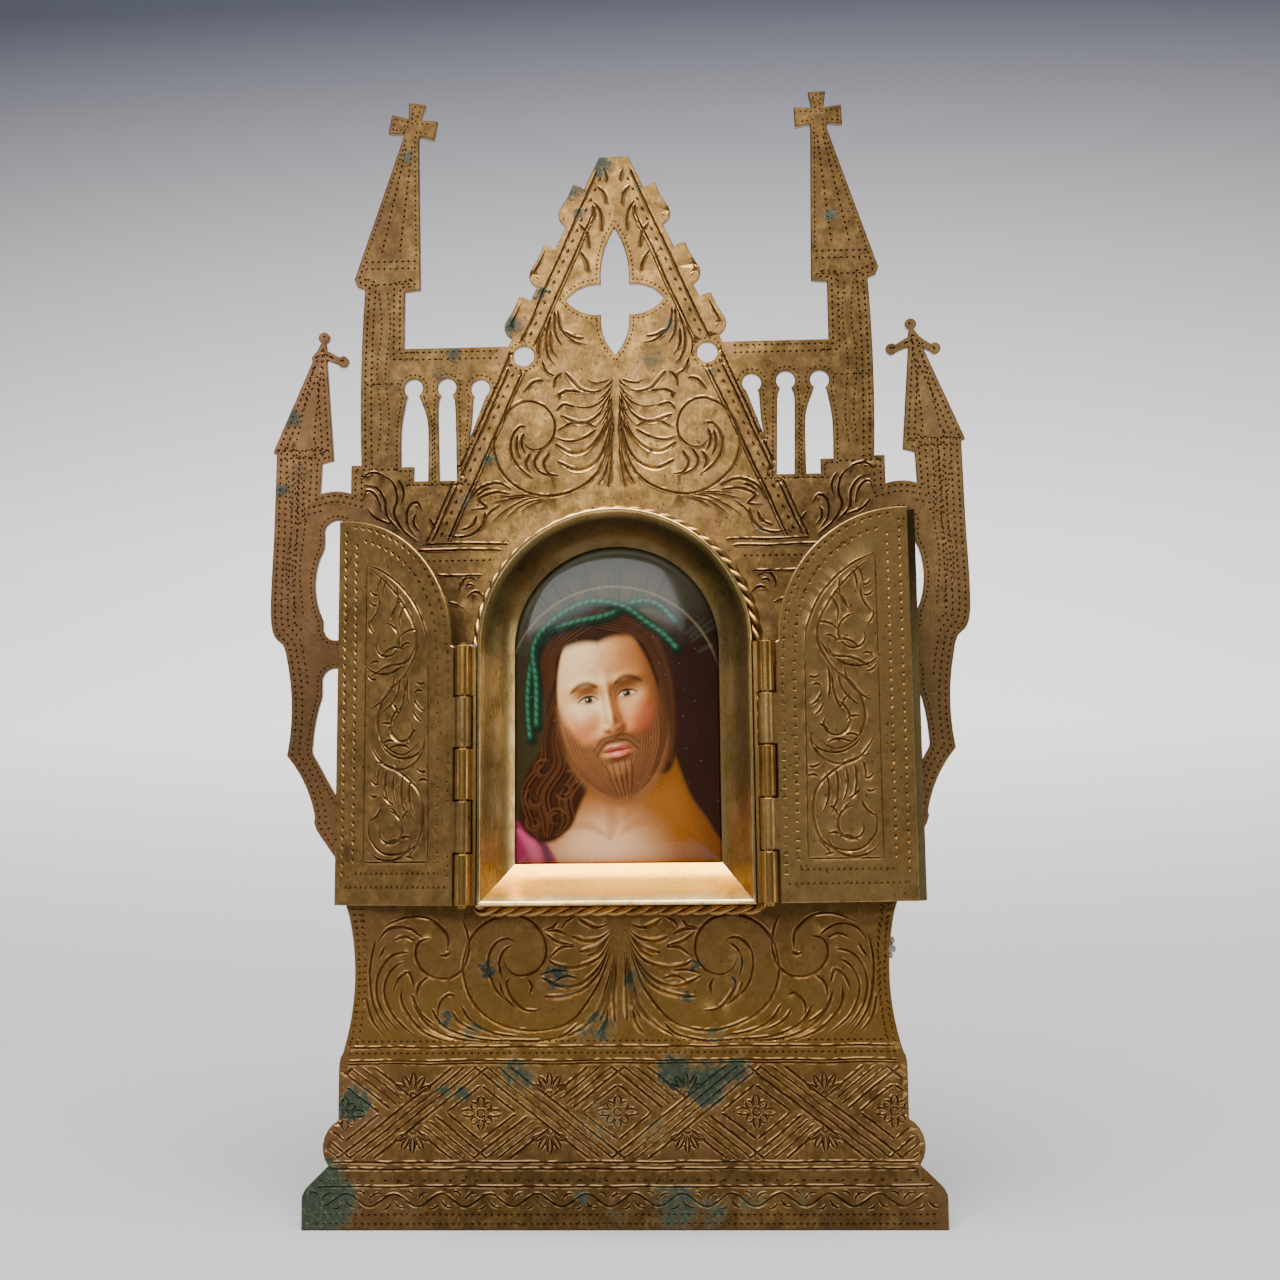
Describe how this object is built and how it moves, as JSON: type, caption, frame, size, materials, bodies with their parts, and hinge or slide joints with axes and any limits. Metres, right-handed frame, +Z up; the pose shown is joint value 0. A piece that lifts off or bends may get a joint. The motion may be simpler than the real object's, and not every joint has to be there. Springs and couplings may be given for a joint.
{
  "type": "folding icon",
  "caption": "Engraved sheet-brass icon shaped as a Gothic church front, with an arched window over a painted porcelain plaque, two hinged doors and a folding strut.",
  "frame": {"origin": "centre of the object's box on the surface it stands on", "axes": "+Z up, -Y the way the engraved front faces, +X to the right seen from the front"},
  "size_m": [0.1122, 0.045, 0.1797],
  "materials": {
    "engraved_sheet": "engraved, aged brown with verdigris spots",
    "plain_brass": "brushed, aged",
    "wire_brass": "drawn wire, aged brown",
    "painted_porcelain": "painted and glazed"
  },
  "bodies": {
    "frame": {"front_sheet": "engraved_sheet", "window_surround": "plain_brass", "rope_moulding": "wire_brass", "porcelain_plaque": "painted_porcelain", "left_hinge_leaf": "plain_brass", "left_hinge_pin": "wire_brass", "right_hinge_leaf": "plain_brass", "right_hinge_pin": "wire_brass", "strut_hinge_plate": "plain_brass", "strut_hinge_pin": "wire_brass"},
    "left_door": {"left_door": "engraved_sheet"},
    "right_door": {"right_door": "engraved_sheet", "meeting_strip": "plain_brass"},
    "strut": {"strut": "plain_brass"}
  },
  "joints": [
    {"name": "left_door_hinge", "type": "hinge", "parent": "frame", "child": "left_door", "pos_m": [-0.0232, -0.02805, 0.00155], "axis": [0, 0.1392, 0.9903], "range_deg": [0, 203]},
    {"name": "right_door_hinge", "type": "hinge", "parent": "frame", "child": "right_door", "pos_m": [0.0232, -0.02805, 0.00155], "axis": [0, 0.1392, 0.9903], "range_deg": [-192, 8]},
    {"name": "strut_hinge", "type": "hinge", "parent": "frame", "child": "strut", "pos_m": [0, -0.00087, 0.09871], "axis": [1, 0, 0], "range_deg": [-21, 0]}
  ]
}
